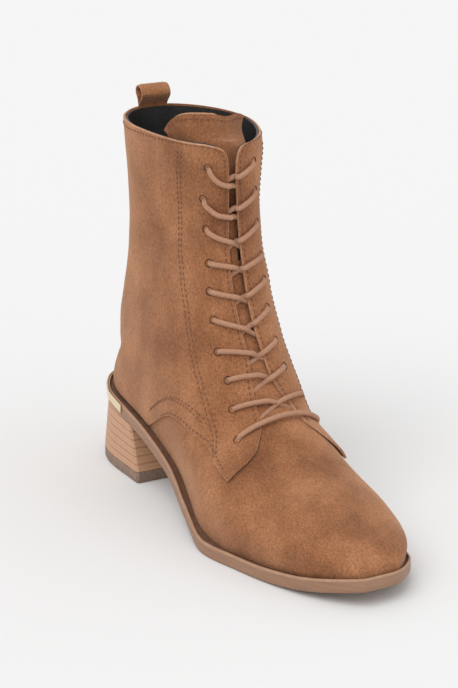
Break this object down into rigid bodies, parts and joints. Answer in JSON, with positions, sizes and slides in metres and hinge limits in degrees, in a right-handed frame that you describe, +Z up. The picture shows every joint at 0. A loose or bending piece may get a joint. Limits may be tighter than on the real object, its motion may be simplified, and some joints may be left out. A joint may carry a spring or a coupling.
{
  "type": "block heel boot",
  "caption": "Suede lace-up ankle boot with a stacked block heel, gold heel strip, side zip and pull loop; right shoe.",
  "frame": {"origin": "middle of the heel's foot, on the floor", "axes": "+X towards the toe, +Y towards the medial side, +Z up"},
  "size_m": [0.2629, 0.0918, 0.2203],
  "materials": {
    "sole_edge": "satin",
    "suede": "napped suede",
    "black_leather": "smooth lining leather",
    "stacked_wood": "satin, stacked layers",
    "heel_rubber": "matte",
    "pale_gold": "polished",
    "lace_cord": "woven round cord",
    "zip_tape": "woven tape with a nylon coil",
    "antique_brass": "antique, satin"
  },
  "bodies": {
    "boot": {"outsole": "sole_edge", "upper": "suede", "tongue": "suede", "insole": "black_leather", "heel_block": "stacked_wood", "heel_top_lift": "heel_rubber", "heel_strip": "pale_gold", "pull_loop": "suede", "lace_1": "lace_cord", "lace_2": "lace_cord", "lace_3": "lace_cord", "lace_4": "lace_cord", "lace_5": "lace_cord", "lace_6": "lace_cord", "lace_7": "lace_cord", "lace_8": "lace_cord", "lace_9": "lace_cord", "lace_10": "lace_cord", "zip_coil": "zip_tape", "zip_slider": "antique_brass"},
    "pull_tab": {"zip_pull": "antique_brass"}
  },
  "joints": [
    {"name": "pull_hinge", "type": "hinge", "parent": "boot", "child": "pull_tab", "pos_m": [0.02806, 0.03826, 0.19834], "axis": [0.9989, 0.0469, 0], "range_deg": [0, 150]}
  ]
}
